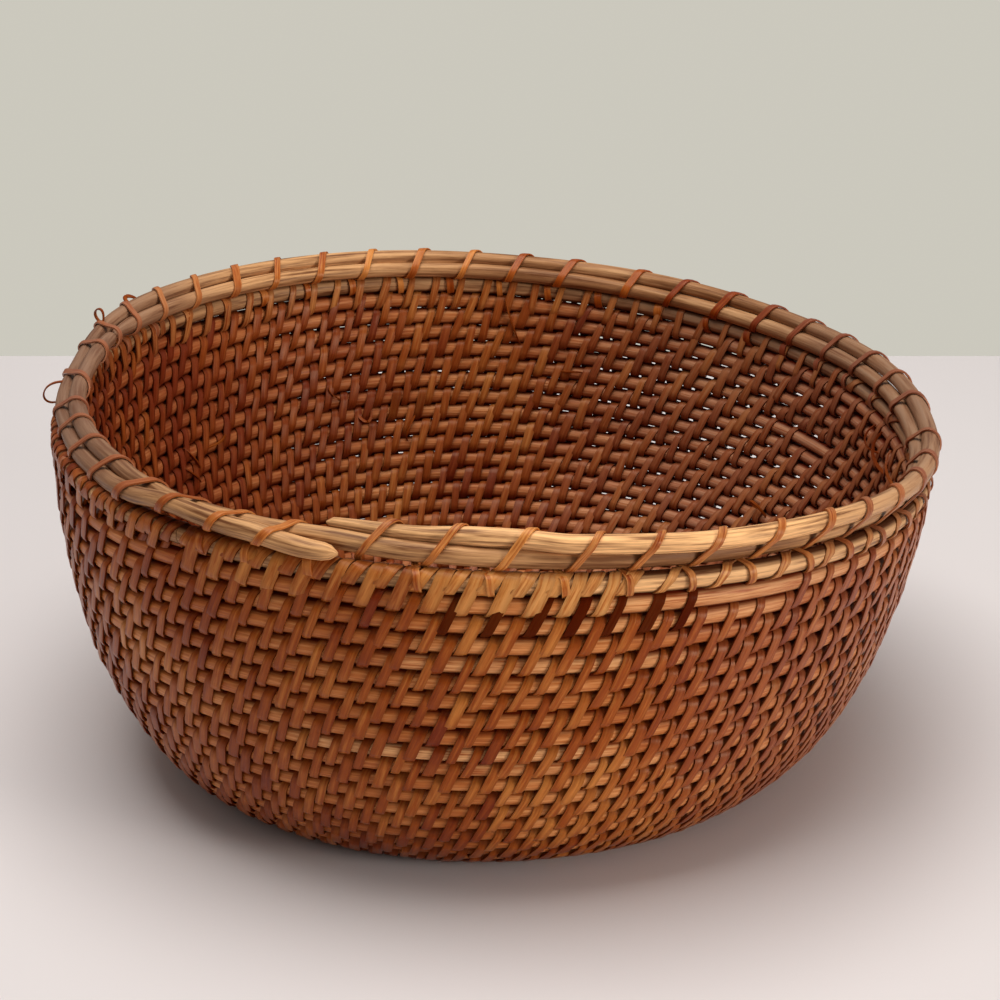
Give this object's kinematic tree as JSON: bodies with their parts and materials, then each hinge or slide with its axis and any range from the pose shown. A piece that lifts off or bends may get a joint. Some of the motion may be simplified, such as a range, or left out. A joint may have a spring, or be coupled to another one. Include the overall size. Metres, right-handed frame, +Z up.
{
  "type": "coiled rattan fruit basket",
  "caption": "Oval coiled rattan basket: round cane wound in a spiral over a flat base and up a flaring wall, with a lashed cane rim, open at the top to hold fruit.",
  "frame": {"origin": "on the ground under the middle of the oval", "axes": "+Z up, +Y along the oval's long axis, away from the side seen in the picture; +X to the picture's right"},
  "size_m": [0.2695, 0.2957, 0.1189],
  "materials": {
    "cane": "worn round rattan, warm orange brown, satin",
    "rim_cane": "bare round rattan, light tan, satin",
    "strip": "flat rattan strip, brown, satin"
  },
  "bodies": {
    "root": {"base_cane_1": "cane", "base_cane_2": "cane", "wall_cane_1": "cane", "wall_cane_2": "cane", "wall_cane_3": "cane", "wall_cane_4": "cane", "wall_cane_5": "cane", "wall_cane_6": "cane", "wall_cane_7": "cane", "top_hoop": "rim_cane", "rim_cane_inner": "rim_cane", "rim_cane_outer": "rim_cane", "rim_lashing_1": "strip", "rim_lashing_2": "strip"}
  },
  "joints": []
}
